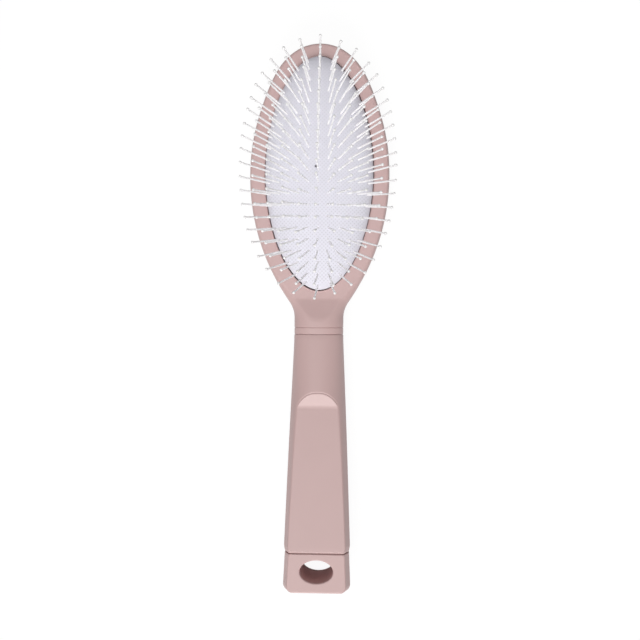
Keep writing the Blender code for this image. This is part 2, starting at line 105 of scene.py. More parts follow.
# Cushion
OVAL_SHARE = 1.91  # exponent of the opening's outline: 2 is an ellipse, less is slimmer at its shoulders
CROWN = 10.0 * MM
CUSHION_GAP = 0.36 * MM  # round the cushion, where it shows
CUSHION_TURN = math.radians(0.4)  # it sits a little askew in the opening
CUSHION_FOOT = PLATE_HIGH.z + GAP
EDGE_SHARE = 0.995  # how much of the dome's half ellipse the face takes up
TUCK = 0.8 * MM  # how far its side draws in
DIMPLE_RADIUS = 0.95 * MM  # round each pin's root
DIMPLE_DEPTH = 0.16 * MM
VENT_PLACE = (-0.9 * MM, 1.6 * MM)  # from the pad's middle
VENT_RADIUS = 0.55 * MM
VENT_DEPTH = 0.9 * MM
VENT_REACH = 1.5  # of its rounded edge, in radii

# Pins
PIN_LENGTH = 17.0 * MM
PIN_ROOT_RADIUS = 0.48 * MM
PIN_NECK_RADIUS = 0.36 * MM
PIN_BALL_RADIUS = 0.68 * MM
PIN_DEPTH = 1.2 * MM  # root below the cushion's face
PIN_MARGIN_ACROSS = 2.35 * MM
PIN_MARGIN_ALONG = 2.3 * MM
ROWS_EACH_WAY = 10
PINS_EACH_WAY = 5
END_PIN_SPREAD = 5.2 * MM

# Handle
SLEEVE_START_HALF_WIDTH = 10.82 * MM
SLEEVE_END_HALF_WIDTH = 14.45 * MM
SLEEVE_WAIST = 0.08 * MM  # how much it draws in above the arch and swells below it
CAP_START_HALF_WIDTH = 13.95 * MM
CAP_HALF_WIDTH = 14.7 * MM
PINCH = SLEEVE_END_HALF_WIDTH - CAP_START_HALF_WIDTH
PINCH_RUN = 2.6 * MM  # over which the sleeve's end draws in to the cap's width
RING_INSET = 0.03 * MM
GRIP_START_CREST = 17.4 * MM
GRIP_END_CREST = 26.0 * MM
GRIP_START_BOTTOM = 2.2 * MM
GRIP_SINK = 0.5 * MM  # of its back under the flat strip that it lies on
GRIP_MIDDLE_RISE = 3.0 * MM  # of its widest point over half height, at the parting line
GRIP_SQUARENESS = 3.4  # exponent of the handle's upper half at the parting line
FLANK_START = 0.17  # how far its flanks lean in at the crest, as a share of the half width, at the arch
FLANK_END = 0.215  # and at the parting line
PANEL_START_HEIGHT = 17.2 * MM
PANEL_END_HEIGHT = 22.0 * MM
SCOOP_START = 25.35 * MM
SCOOP_RUN = 6.0 * MM
SPIGOT_LENGTH = 12.0 * MM
BORE_END_HALF_WIDTH = 10.2 * MM
BORE_END_HALF_HEIGHT = 6.2 * MM
HOLE_HALF_WIDTH = 7.15 * MM
HOLE_HALF_LENGTH = 4.85 * MM
HOLE_FROM_TAIL = 9.05 * MM
CAP_CORNER = 3.1 * MM

# Stations that follow
ARCH_Y = SLEEVE_Y - SCOOP_START
SCOOP_Y = ARCH_Y - SCOOP_RUN
SLEEVE_END_Y = CAP_Y + GAP / 2
CAP_START_Y = CAP_Y - GAP / 2
HOLE_Y = TAIL_Y + HOLE_FROM_TAIL
NECK_Y = RING_Y + GAP
FILLET_Y = RING_Y + NECK_LENGTH
FLARE_FOOT_X = NECK_HALF_WIDTH + NECK_FILLET * (1 - math.cos(FLARE_ANGLE))
FLARE_FOOT_Y = FILLET_Y + NECK_FILLET * math.sin(FLARE_ANGLE)
FLARE_TOP_Y = RING_Y + FLARE_LENGTH
FLARE_TURN = math.asin((FLARE_TOP_Y - HEAD_Y) / HEAD_HALF_LENGTH)
RAMP_TOP_Y = RING_Y + RAMP_START + RAMP_RUN
GRIP_AXIS_HEIGHT = (NECK_TOP + NECK_BOTTOM) / 2


def between(start, end, share):
    """The value a share of the way from start to end."""
    return start + (end - start) * share


def soft_min(a, b, blend):
    """The lower of a and b, with the corner between them rounded over a height of blend."""
    near = np.maximum(blend - np.abs(a - b), 0.0) / blend
    return np.minimum(a, b) - near * near * blend / 4


def soft_max(a, b, blend):
    """The higher of a and b, rounded in the same way."""
    return -soft_min(-a, -b, blend)


def smooth(share):
    """Ease from nought to one: three squares of the share less two cubes."""
    share = np.clip(share, 0.0, 1.0)
    return share * share * (3 - 2 * share)


def power(value, exponent):
    """A power that keeps the sign."""
    return np.sign(value) * np.abs(value) ** exponent


def quarter_drop(distance, radius):
    """How far a quarter round of that radius has dropped, a distance in from its edge."""
    left = np.clip(radius - distance, 0, radius)
    return radius - np.sqrt(radius * radius - left * left)


def turned(x, y, angle):
    """Points of the plane turned about its origin."""
    c, s = math.cos(angle), math.sin(angle)
    return c * x - s * y, s * x + c * y


def ring_points(x, y, z):
    """Rows of loops from x, y and z that spread to one shape."""
    return np.stack(np.broadcast_arrays(x, y, z), axis=-1)


def grid_faces(rows, columns, along, start):
    """Quads of a grid that closes round its columns, and along its rows if asked."""
    index = start + np.arange(rows * columns).reshape(rows, columns)
    if along:
        index = np.vstack([index, index[:1]])
    ahead = np.roll(index, -1, axis=1)
    quads = np.stack([index[:-1], ahead[:-1], ahead[1:], index[1:]], axis=-1)
    return quads.reshape(-1, 4)


def new_object(name, data):
    thing = bpy.data.objects.new(name, data)
    bpy.context.scene.collection.objects.link(thing)
    return thing


def make_piece(name, grids, finish, sharp=40.0):
    """One mesh object from grids of points, each (rows, columns, 3) with whether it closes along its rows.

    Points that lie together are merged, which closes the seams and the poles, and the faces are turned
    outwards.
    """
    points, quads, start = [], [], 0
    for grid, along in grids:
        rows, columns = grid.shape[:2]
        points.append(grid.reshape(-1, 3))
        quads.append(grid_faces(rows, columns, along, start))
        start += rows * columns
    points = join(points)
    quads = join(quads)
    mesh = bpy.data.meshes.new(name)
    mesh.vertices.add(len(points))
    mesh.vertices.foreach_set("co", points.astype(np.float32).ravel())
    mesh.loops.add(quads.size)
    mesh.loops.foreach_set("vertex_index", quads.astype(np.int32).ravel())
    mesh.polygons.add(len(quads))
    mesh.polygons.foreach_set("loop_start", np.arange(0, quads.size, 4, dtype=np.int32))
    mesh.update(calc_edges=True)
    bm = bmesh.new()
    bm.from_mesh(mesh)
    bmesh.ops.remove_doubles(bm, verts=bm.verts, dist=WELD)
    bmesh.ops.dissolve_degenerate(bm, edges=bm.edges, dist=WELD / 2)
    bmesh.ops.recalc_face_normals(bm, faces=bm.faces)
    bm.to_mesh(mesh)
    bm.free()
    mesh.shade_smooth()
    mesh.set_sharp_from_angle(angle=math.radians(sharp))
    mesh.materials.append(finish)
    piece = new_object(name, mesh)
    return piece


# Turns round a section: close together at the crest and over the front, wider apart over the back
FRONT_TURNS = 241
BACK_TURNS = 60
CREST_CROWDING = 1.6
FROM_CREST = power(np.linspace(-1, 1, FRONT_TURNS), CREST_CROWDING)
OVER_BACK = np.linspace(math.pi, math.tau, BACK_TURNS + 2)[1:-1]
TURNS = join([math.pi / 2 * (1 + FROM_CREST), OVER_BACK])
LEAN_EASE = 0.3  # share of the upper height over which the flanks begin to lean


def lean_in(rise):
    """How much of the flank's lean is reached at a share of the upper height: the share, eased in."""
    rise = np.maximum(rise, 0)
    return rise * smooth(rise / LEAN_EASE)


def section(half, top, bottom, inset, squareness=ROUNDNESS, flank=0.0, middle=None):
    """x and z of closed sections round TURNS, widest at half their height or at middle.

    Both are powers of the cosine and the sine, as in a superellipse: its exponent is squareness over the
    upper half and ROUNDNESS under it. The upper flanks lean in by the flank share of the half width.
    """
    exponent = np.where(np.sin(TURNS) > 0, squareness, ROUNDNESS)
    rise = power(np.sin(TURNS), 2 / exponent)
    x = (half - inset) * power(np.cos(TURNS), 2 / exponent) * (1 - flank * lean_in(rise))
    if middle is None:
        middle = (top + bottom) / 2
    return x, middle + (np.where(rise > 0, top - middle, middle - bottom) - inset) * rise


def down_sleeve(y):
    """Share of the way from the ring to the parting line."""
    return (SLEEVE_Y - y) / (SLEEVE_Y - CAP_Y)


def below_arch(y):
    """Share of the way from the arch to the parting line, between nought and one."""
    return np.clip((ARCH_Y - y) / (ARCH_Y - CAP_Y), 0, 1)


def grip_half_width(y):
    """Half the handle's width.

    It widens down the sleeve, less a small sine wave of the root of the share, draws in at the sleeve's
    end, and widens again down the cap.
    """
    share = down_sleeve(y)
    sleeve = between(SLEEVE_START_HALF_WIDTH, SLEEVE_END_HALF_WIDTH, share)
    sleeve = sleeve - SLEEVE_WAIST * np.sin(math.tau * np.sqrt(np.clip(share, 0, 1)))
    sleeve = sleeve - PINCH * smooth(1 - (y - CAP_Y) / PINCH_RUN)
    cap = between(CAP_START_HALF_WIDTH, CAP_HALF_WIDTH, (CAP_Y - y) / (CAP_Y - TAIL_Y))
    return np.where(y > CAP_Y, sleeve, cap)


def grip_top(y):
    """Height of the handle's crest before its front is cut."""
    return between(GRIP_START_CREST, GRIP_END_CREST, down_sleeve(y))


def grip_bottom(y):
    """Height of the handle's back, level on the cap."""
    return between(GRIP_START_BOTTOM, -GRIP_SINK, np.clip(down_sleeve(y), 0, 1))


def grip_middle(y):
    """Height of the handle's widest point: half way up at the arch, and higher towards the cap."""
    return (grip_top(y) + grip_bottom(y)) / 2 + GRIP_MIDDLE_RISE * below_arch(y)


PANEL_FOLD = 0.45 * MM  # softness of the fold between scoop and panel
PANEL_EDGE = 0.45 * MM  # softness of the panel's long edges
ARCH_EDGE = 0.12 * MM  # softness of the arch
ARCH_GROOVE = 0.20 * MM
ARCH_GROOVE_PLACE = 0.42 * MM  # outside the line where scoop and handle meet
LONG_GROOVE_SHARE = 0.12  # of that depth, along the panel's long edges
GROOVE_WIDTH = 0.28 * MM
FLANK_STEEPNESS = 1.2  # of the section at its full half width
LEAST_STEEPNESS = 0.05
BACK_EDGE = 0.4 * MM
SCOOP_SLOPE = (grip_top(ARCH_Y) - PANEL_START_HEIGHT) / SCOOP_RUN


def front_height(y):
    """The flat panel's height, and the scoop's slope that climbs from it to the crest at the arch."""
    panel = between(PANEL_START_HEIGHT, PANEL_END_HEIGHT, (SCOOP_Y - y) / (SCOOP_Y - TAIL_Y))
    return soft_max(panel, PANEL_START_HEIGHT + SCOOP_SLOPE * (y - SCOOP_Y), PANEL_FOLD)


def cut_front(x, y, z, inset):
    """The handle's height after its panel and scoop are cut.

    It is the lower of the rounded section and the front height, softened between them, less a shallow
    groove just outside the line where they meet. The groove is a bell curve of the distance from it,
    which is the height between the two over how steeply they cross.
    """
    front = front_height(y) - inset
    arch = smooth((y - SCOOP_Y + SCOOP_RUN / 2) / SCOOP_RUN)
    spread = np.clip(np.abs(x) / grip_half_width(y), 0, 1)
    steep = np.hypot(FLANK_STEEPNESS * spread**2, SCOOP_SLOPE * arch + LEAST_STEEPNESS)
    away = (z - front) / steep + ARCH_GROOVE_PLACE * arch
    groove = ARCH_GROOVE * between(LONG_GROOVE_SHARE, 1, arch) * np.exp(-((away / GROOVE_WIDTH) ** 2))
    return soft_min(z, front, between(PANEL_EDGE, ARCH_EDGE, arch)) - groove


def grip_rows(y, inset):
    """Loops of the handle, inset from its full section, plain at the ring and squarer towards the cap."""
    y = np.asarray(y)[:, None]
    inset = np.asarray(inset)[:, None]
    down = below_arch(y)
    squareness = between(ROUNDNESS, GRIP_SQUARENESS, down)
    flank = smooth((SLEEVE_Y - y) / SCOOP_START) * between(FLANK_START, FLANK_END, down)
    half, top, bottom = grip_half_width(y), grip_top(y), grip_bottom(y)
    x, z = section(half, top, bottom, inset, squareness, flank, grip_middle(y))
    z = cut_front(x, y, z, inset)
    return ring_points(x, y, soft_max(z, inset, BACK_EDGE))


EDGE_STEPS = 7


def edge_stations(low, high, low_round, high_round, inner):
    """Stations from low to high with a quarter round at each end: y and the inset there."""
    turn = np.linspace(0, math.pi / 2, EDGE_STEPS)
    run, inward = 1 - np.cos(turn), 1 - np.sin(turn)
    y = join([low + low_round * run, inner, high - high_round * run[::-1]])
    inset = join([low_round * inward, 0 * inner, high_round * inward[::-1]])
    return y, inset


def bore_rows(y, inset=0.0):
    """Loops of the bore that opens towards the tail, or of what slides in it when an inset is given."""
    y = np.asarray(y)[:, None]
    share = np.clip(down_sleeve(y), 0, 1)
    wide = between(TANG_HALF_WIDTH + SLIDE_GAP, BORE_END_HALF_WIDTH, share) - inset
    tall = between(TANG_HALF_HEIGHT + SLIDE_GAP, BORE_END_HALF_HEIGHT, share) - inset
    middle = between(GRIP_AXIS_HEIGHT, PANEL_END_HEIGHT / 2, share)
    return ring_points(wide * np.cos(TURNS), y, middle + tall * np.sin(TURNS))


SLEEVE_END_ROUND = 0.85 * MM
SLEEVE_START_ROUND = 0.16 * MM
SCOOP_STEP = 0.15 * MM
SLEEVE_STEP = 1.2 * MM
ZONE_MARGIN = 1.2 * MM
BORE_LOOPS = 12


def build_sleeve(finish):
    """The handle tube: loops along it, close together round the scoop, and the bore back inside."""
    low, high = SLEEVE_END_Y, SLEEVE_Y
    zones = [
        (low + SLEEVE_END_ROUND, low + PINCH_RUN, SLEEVE_END_ROUND),
        (low + PINCH_RUN, SCOOP_Y - ZONE_MARGIN, SLEEVE_STEP),
        (SCOOP_Y - ZONE_MARGIN, ARCH_Y + ZONE_MARGIN, SCOOP_STEP),
        (ARCH_Y + ZONE_MARGIN, high - SLEEVE_START_ROUND - ZONE_MARGIN, SLEEVE_STEP),
    ]
    inner = join([np.linspace(a, b, round((b - a) / step))[:-1] for a, b, step in zones])
    y, inset = edge_stations(low, high, SLEEVE_END_ROUND, SLEEVE_START_ROUND, inner[1:])
    rows = join([grip_rows(y, inset), bore_rows(np.linspace(high, low, BORE_LOOPS))])
    piece = make_piece("grip_shell", [(rows, True)], finish)
    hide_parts("grip_sleeve")
    return piece


def neck_rows(y, inset):
    """Loops of the neck's own plain section, which the trim ring shares."""
    y = np.asarray(y)[:, None]
    x, z = section(NECK_HALF_WIDTH, NECK_TOP, NECK_BOTTOM, np.asarray(inset)[:, None])
    return ring_points(x, y, z)


RING_ROUND = 0.14 * MM
RING_LAND = 0.22 * MM  # depth of the land that closes the grooves beside the ring
RING_LOOPS = 7


def build_ring(finish):
    """The trim ring: the neck's section with rounded edges, a sunk land beyond each, and the bore."""
    low, high = SLEEVE_Y + GAP, RING_Y
    inner = np.linspace(low + RING_ROUND, high - RING_ROUND, RING_LOOPS)[1:-1]
    y, inset = edge_stations(low, high, RING_ROUND, RING_ROUND, inner)
    y = join([[SLEEVE_Y + TOUCH, low], y, [high, NECK_Y - TOUCH]])
    inset = join([[RING_LAND] * 2, inset, [RING_LAND] * 2])
    rows = join([neck_rows(y, inset + RING_INSET), bore_rows([y[-1], y[0]])])
    piece = make_piece("trim_ring", [(rows, True)], finish)
    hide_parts("neck_ring")
    return piece


CAP_END_ROUND = 0.8 * MM
CAP_START_ROUND = 0.3 * MM
CAP_LAND = 0.9 * MM  # depth of the land that closes the parting groove
HOLE_ROUND = 0.55 * MM
CORNER_STEPS = 26
START_SKIP = 5  # the small round at its start takes every fifth of them
CAP_STATIONS = 40
CAP_END_STEPS = 72
CAP_FACE_STEPS = 64
CAP_WALL_STEPS = 10
LIP_TURNS = 9
PROFILE_TURNS = np.linspace(0, math.pi / 2, 800)


def flank_rise(spread):
    """Share of the upper height over a share of the half width, read off the handle's own section."""
    rise = np.sin(PROFILE_TURNS) ** (2 / GRIP_SQUARENESS)
    across = np.cos(PROFILE_TURNS) ** (2 / GRIP_SQUARENESS) * (1 - FLANK_END * lean_in(rise))
    return np.interp(spread, across[::-1], rise[::-1])


def cap_inset(y, tail_round):
    """How far the quarter rounds at the cap's two ends draw it in at y."""
    return quarter_drop(y - TAIL_Y, tail_round) + quarter_drop(CAP_START_Y - y, CAP_START_ROUND)


def cap_section(x, y):
    """Upper and lower height of the cap over a point of its plan.

    The upper one follows the handle's own flank and is cut by the front. Below, the share of the half width
    and the fall, each to the power ROUNDNESS, add up to one.
    """
    edge = cap_inset(y, CAP_END_ROUND)
    top, bottom, middle = grip_top(y), grip_bottom(y), grip_middle(y)
    spread = np.clip(np.abs(x) / (grip_half_width(y) - cap_inset(y, CAP_CORNER)), 0, 1)
    fall = (1 - spread**ROUNDNESS) ** (1 / ROUNDNESS)
    upper = cut_front(x, y, middle + (top - middle - edge) * flank_rise(spread), edge)
    lower = soft_max(middle - (middle - bottom - edge) * fall, edge, BACK_EDGE)
    return np.maximum(upper, middle), np.minimum(lower, middle)


def cap_outline():
    """The cap's plan, anticlockwise: right side, head end, left side and tail end."""
    run = 1 - np.cos(np.linspace(0, math.pi / 2, CORNER_STEPS))
    corner = TAIL_Y + CAP_CORNER * run
    side = np.linspace(TAIL_Y + CAP_CORNER, CAP_START_Y - CAP_START_ROUND, CAP_STATIONS)[1:]
    start = CAP_START_Y - CAP_START_ROUND * run[::-START_SKIP][1:]
    y = join([corner, side, start])
    x = grip_half_width(y) - cap_inset(y, CAP_CORNER)
    end = np.linspace(1, -1, CAP_END_STEPS)[1:-1]
    across = join([x, x[-1] * end, -x[::-1], -x[0] * end])
    along = join([y, 0 * end + y[-1], y[::-1], 0 * end + y[0]])
    return across, along


def cap_loops():
    """Loops of the cap: up the hole's wall, over the front, round the side and back underneath.

    They stand on the lines from the hole's oval to the cap's plan, and a quarter round leads from the wall
    to either face.
    """
    x_out, y_out = cap_outline()
    turn = np.arctan2((y_out - HOLE_Y) / HOLE_HALF_LENGTH, x_out / HOLE_HALF_WIDTH)
    x_in, y_in = HOLE_HALF_WIDTH * np.cos(turn), HOLE_Y + HOLE_HALF_LENGTH * np.sin(turn)
    reach = np.hypot(x_out - x_in, y_out - y_in)[:, None]
    quarter = np.linspace(0, math.pi / 2, LIP_TURNS)
    share = 1 - (1 - np.linspace(0, 1, CAP_FACE_STEPS)[1:]) ** ROUNDNESS
    lip = 0 * reach + HOLE_ROUND * (1 - np.cos(quarter))
    steps = join([lip, between(HOLE_ROUND, reach, share)], axis=1)
    drop = join([HOLE_ROUND * (1 - np.sin(quarter)), 0 * share])
    x = between(x_in[:, None], x_out[:, None], steps / reach)
    y = between(y_in[:, None], y_out[:, None], steps / reach)
    upper, lower = cap_section(x, y)
    front = ring_points(x, y, upper - drop)
    back = ring_points(x, y, lower + drop)
    side = np.linspace(0, 1, CAP_WALL_STEPS)[1:-1][None, :, None]
    end = between(front[:, -1:], back[:, -1:], side)
    wall = between(back[:, :1], front[:, :1], side)
    return join([front, end, back[:, ::-1], wall], axis=1)


def build_cap(finish):
    """The end cap. A sunk land closes the parting groove, and the spigot runs on into the sleeve."""
    land_end = SLEEVE_END_Y - TOUCH
    land = grip_rows([CAP_START_Y - GAP, land_end], [CAP_LAND, CAP_LAND])
    rows = join([land, bore_rows([land_end, CAP_Y + SPIGOT_LENGTH], GAP)])
    ends = 0 * rows[[0, -1]] + rows[[0, -1]].mean(axis=1, keepdims=True)
    spigot = join([ends[:1], rows, ends[1:]])
    grids = [(cap_loops(), True), (spigot, False)]
    piece = make_piece("cap_shell", grids, finish)
    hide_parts("end_cap")
    return piece


def opening_level(x, y):
    """One on the opening's edge, less inside: both half-axis shares to a power, summed, and the root."""
    across, along = np.abs(x) / PAD_HALF_WIDTH, np.abs(y - PAD_Y) / PAD_HALF_LENGTH
    return (across**OVAL_SHARE + along**OVAL_SHARE) ** (1 / OVAL_SHARE)


def opening_distance(x, y):
    """Distance outside the opening, to first order: the level less one, over the level's slope."""
    across, along = np.abs(x) / PAD_HALF_WIDTH, np.abs(y - PAD_Y) / PAD_HALF_LENGTH
    level = opening_level(x, y)
    steep = OVAL_SHARE - 1
    slope = np.hypot(across**steep / PAD_HALF_WIDTH, along**steep / PAD_HALF_LENGTH) / level**steep
    return (level - 1) / slope


def fillet_outline(lean):
    """The fillet between neck and flare: x, y and the y where its inward normal meets the middle line."""
    x = NECK_HALF_WIDTH + NECK_FILLET * (1 - np.cos(lean))
    y = FILLET_Y + NECK_FILLET * np.sin(lean)
    return x, y, y + x * np.tan(lean)


NECK_STATIONS = 22
CURVE_STATIONS = 40
FILLET_END_STATIONS = 14
OVAL_STATIONS = 140


def neck_outline():
    """Right-hand outline from the ring to the point whose inward normal meets the foot of the opening."""
    foot = PAD_Y - PAD_HALF_LENGTH
    leans = np.linspace(0, FLARE_ANGLE, 400)
    last = float(np.interp(foot, fillet_outline(leans)[2], leans))
    y = np.linspace(NECK_Y + RING_ROUND, FILLET_Y, NECK_STATIONS)[:-1]
    x, fillet_y, spine = fillet_outline(np.linspace(0, last, CURVE_STATIONS))
    x = join([0 * y + NECK_HALF_WIDTH, x])
    return x, join([y, fillet_y]), join([y, spine]), last


FULLNESS = 0.022  # how much the oval gains near its tip, and loses at its shoulders
FULLNESS_LOW = 0.009  # the same for its lower half
FULLNESS_SHIFT = 2.4
TIP_FULLNESS = 0.11  # how much blunter its tip is
TIP_SHARE = 12.0


def oval_outline(turn):
    """The head's oval: an ellipse times one less a sine wave of the height share to a power.

    A high power of the height share blunts its tip. The third value is the y where the inward normal meets
    the middle line: y plus x times dx over dy.
    """
    height = np.sin(turn)
    away = np.abs(height)
    gain = np.where(height > 0, FULLNESS, FULLNESS_LOW)
    phase = math.tau * away**FULLNESS_SHIFT
    phase_change = math.tau * FULLNESS_SHIFT * away ** (FULLNESS_SHIFT - 1) * np.sign(height)
    up = np.maximum(height, 0)
    full = 1 - gain * np.sin(phase) + TIP_FULLNESS * up**TIP_SHARE
    change = TIP_FULLNESS * TIP_SHARE * up ** (TIP_SHARE - 1) - gain * np.cos(phase) * phase_change
    x = HEAD_HALF_WIDTH * np.cos(turn) * full
    y = HEAD_Y + HEAD_HALF_LENGTH * height
    dx = HEAD_HALF_WIDTH * (np.cos(turn) ** 2 * change - height * full)
    return x, y, y + dx * HEAD_HALF_WIDTH * full / HEAD_HALF_LENGTH


def flare_outline(share):
    """The flare from the fillet to the oval: the cubic that meets both in place and in slope."""
    top_x, top_y, top_spine = oval_outline(np.array([FLARE_TURN]))
    run = top_y - FLARE_FOOT_Y
    foot_slope, top_slope = math.tan(FLARE_ANGLE), (top_spine - top_y) / top_x
    rise = top_x - FLARE_FOOT_X
    bend = 3 * rise - run * (2 * foot_slope + top_slope)
    twist = run * (foot_slope + top_slope) - 2 * rise
    x = FLARE_FOOT_X + share * (run * foot_slope + share * (bend + share * twist))
    slope = foot_slope + share * (2 * bend + 3 * share * twist) / run
    y = FLARE_FOOT_Y + run * share
    return x, y, y + x * slope


def head_outline(first):
    """The rest of the outline: the fillet's end, the flare and the oval up to the tip."""
    parts = [
        fillet_outline(np.linspace(first, FLARE_ANGLE, FILLET_END_STATIONS)),
        flare_outline(np.linspace(0, 1, CURVE_STATIONS)[1:]),
        oval_outline(np.linspace(FLARE_TURN, math.pi / 2, OVAL_STATIONS)[1:]),
    ]
    return [join(values) for values in zip(*parts)]


RIM_EDGE = 0.55 * MM  # softness of the side's edge at the rim
RAMP_EDGE = 0.30 * MM  # and at the ramp
RAMP_FOLD = 0.18 * MM  # and of the fold between these two
HEAD_START = 0.8  # how far before the ramp's top the neck's section begins to turn into the head's


def head_share(y):
    """Nought over the neck, one over the head."""
    return smooth((y - RAMP_TOP_Y + HEAD_START * RAMP_RUN) / ((1 + HEAD_START) * RAMP_RUN))


def head_top(x, y, inset, widest, top, rounding):
    """Height of the head's upper face: a rounded side, cut by the flat rim and the ramp.

    At the lip it carries a bead, which is the square of half a sine wave.
    """
    left = np.clip(1 - inset / rounding, 0, 1)
    side = between(widest, top, (1 - left**ROUNDNESS) ** (1 / ROUNDNESS))
    slope = (NECK_TOP - RIM_HEIGHT) / RAMP_RUN
    rim = soft_max(RIM_HEIGHT + 0 * y, RIM_HEIGHT + slope * (RAMP_TOP_Y - y), RAMP_FOLD)
    bead = np.clip(1 - opening_distance(x, y) / LIP_WIDTH, 0, 1)
    cut = soft_min(side, rim, between(RAMP_EDGE, RIM_EDGE, head_share(y)))
    return cut + LIP_HEIGHT * np.sin(math.pi * bead) ** 2


HALVINGS = 40


def opening_reach(x, y, spine):
    """Share of the way from an outline point to the middle line where the opening starts, by halving."""
    low, high = 0 * x, 0 * x + 1
    for _ in range(HALVINGS):
        middle = (low + high) / 2
        outside = opening_level(x * (1 - middle), between(y, spine, middle)) > 1
        low, high = np.where(outside, middle, low), np.where(outside, high, middle)
    return low


SIDE_STEPS = 14
FLAT_STEPS = 48
LIP_STEPS = 12
BACK_STEPS = 34
LIP_REACH = 1.3  # of the fine steps at the lip, in widths of its bead
LARGEST_SHARE = 1 / 3  # of a half section, for its side and for its lip
WALL_LOW = PLATE_LOW.z - GAP
WELL_WALL_STEPS = 12
WELL_FLOOR_STEPS = 5


def half_loops(x, y, spine, end):
    """Half sections over the right side: from the middle of the back, round the side, and in over the top.

    They run to the share of the way to the middle line that end gives.
    """
    x, y, spine, end = (value[:, None] for value in (x, y, spine, end))
    reach = np.maximum(np.hypot(x, spine - y), WELD)
    head = head_share(y)
    widest = between(GRIP_AXIS_HEIGHT, RIM_SIDE_HEIGHT, head)
    top = between(NECK_TOP, RIM_HEIGHT + RIM_ALLOWANCE, head)
    bottom = between(NECK_BOTTOM, -HEAD_SINK, smooth((y - RING_Y) / (FLARE_TOP_Y - RING_Y)))
    stop = end * reach
    first = np.minimum(RIM_ROUNDING, stop * LARGEST_SHARE)
    last = np.minimum(LIP_WIDTH * LIP_REACH, stop * LARGEST_SHARE)
    side = first * np.linspace(0, 1, SIDE_STEPS) ** ROUNDNESS
    flat = between(first, stop - last, np.linspace(0, 1, FLAT_STEPS + 1)[1:])
    lip = between(stop - last, stop, np.linspace(0, 1, LIP_STEPS + 1)[1:])
    inset = join([side, flat, lip], axis=1)
    px, py = x * (1 - inset / reach), between(y, spine, inset / reach)
    rounding = between(reach, RIM_ROUNDING, head)
    front = ring_points(px, py, head_top(px, py, inset, widest, top, rounding))
    turn = np.linspace(math.pi / 2, 0, BACK_STEPS)[:-1]
    share = 1 - np.cos(turn) ** (2 / ROUNDNESS)
    z = between(widest, bottom, np.sin(turn) ** (2 / ROUNDNESS))
    back = ring_points(x * (1 - share), between(y, spine, share), soft_max(z, 0.0, BACK_EDGE))
    return join([back, front], axis=1)


def both_sides(half):
    """Closed loops from half sections and their mirror image."""
    return join([half, half[:, ::-1] * np.array([-1, 1, 1])], axis=1)


def tang_loops(start):
    """Loops of the tang inside the handle, the neck's flat shoulder and its rounded edge, up to start."""
    centre = np.array([0.0, 0.0, GRIP_AXIS_HEIGHT])
    angle = np.arctan2(start[:, 2] - GRIP_AXIS_HEIGHT, start[:, 0])
    stations = np.array([[SLEEVE_Y - TANG_LENGTH], [NECK_Y]])
    height = GRIP_AXIS_HEIGHT + TANG_HALF_HEIGHT * np.sin(angle)
    tang = ring_points(TANG_HALF_WIDTH * np.cos(angle), stations, height)
    tip = 0 * tang[:1] + np.array([0, SLEEVE_Y - TANG_LENGTH, GRIP_AXIS_HEIGHT])
    turn = np.linspace(0, math.pi / 2, EDGE_STEPS)[:-1, None]
    inset = RING_ROUND * (1 - np.sin(turn))
    shrink = ring_points(1 - inset / NECK_HALF_WIDTH, 1.0, 1 - 2 * inset / (NECK_TOP - NECK_BOTTOM))
    rounded = (start - centre) * shrink + centre
    rounded[..., 1] = NECK_Y + RING_ROUND * (1 - np.cos(turn))
    return join([tip, tang, rounded])


def build_head(finish):
    """The head and neck: loops along the outline, over the back and the rim, then down the opening's wall.

    Below the opening the loops close over the middle line instead.
    """
    x, y, spine, last = neck_outline()
    neck = both_sides(half_loops(x, y, spine, 0 * x + 1))
    neck = join([tang_loops(neck[0]), neck])
    x, y, spine = head_outline(last)
    half = half_loops(x, y, spine, opening_reach(x, y, spine))
    lip = half[:, -1:]
    foot = lip * np.array([1, 1, 0]) + np.array([0, 0, WALL_LOW])
    wall = between(lip, foot, np.linspace(0, 1, WELL_WALL_STEPS)[1:, None])
    middle = ring_points(0 * x, spine, WALL_LOW)[:, None]
    floor = between(foot, middle, np.linspace(0, 1, WELL_FLOOR_STEPS)[1:, None])
    head = both_sides(join([half, wall, floor], axis=1))
    grids = [(neck, False), (head, False)]
    piece = make_piece("head_shell", grids, finish, sharp=50.0)
    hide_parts("head_frame")
    return piece


CUSHION_RINGS = 40
CUSHION_TURNS = 112
SIDE_RINGS = 5
UNDER_RINGS = 6


def cushion_rows(crown_share):
    """The cushion as a closed crowned form: its face from the middle out, its side and its underside.

    The face is half an ellipse over its share of the way out, and the side draws in by half a sine wave.
    """
    turn = np.linspace(0, math.tau, CUSHION_TURNS, endpoint=False)
    across = (PAD_HALF_WIDTH - CUSHION_GAP) * power(np.cos(turn), 2 / OVAL_SHARE)
    along = (PAD_HALF_LENGTH - CUSHION_GAP) * power(np.sin(turn), 2 / OVAL_SHARE)
    out = np.sin(np.linspace(0, math.pi / 2, CUSHION_RINGS))[:, None]
    rise = CROWN * crown_share * np.sqrt(1 - (EDGE_SHARE * out) ** 2)
    face = ring_points(across * out, PAD_Y + along * out, RIM_HEIGHT + rise)
    drop = np.linspace(0, 1, SIDE_RINGS + 1)[1:, None]
    drawn = 1 - TUCK * np.sin(math.pi * drop) / np.hypot(across, along)
    height = between(face[-1, 0, 2], CUSHION_FOOT, drop)
    side = ring_points(across * drawn, PAD_Y + along * drawn, height)
    share = np.linspace(1, 0, UNDER_RINGS + 1)[1:, None]
    under = ring_points(across * share, PAD_Y + along * share, CUSHION_FOOT)
    points = join([face, side, under])
    x, y = turned(points[..., 0], points[..., 1] - PAD_Y, CUSHION_TURN)
    return ring_points(x, PAD_Y + y, points[..., 2])


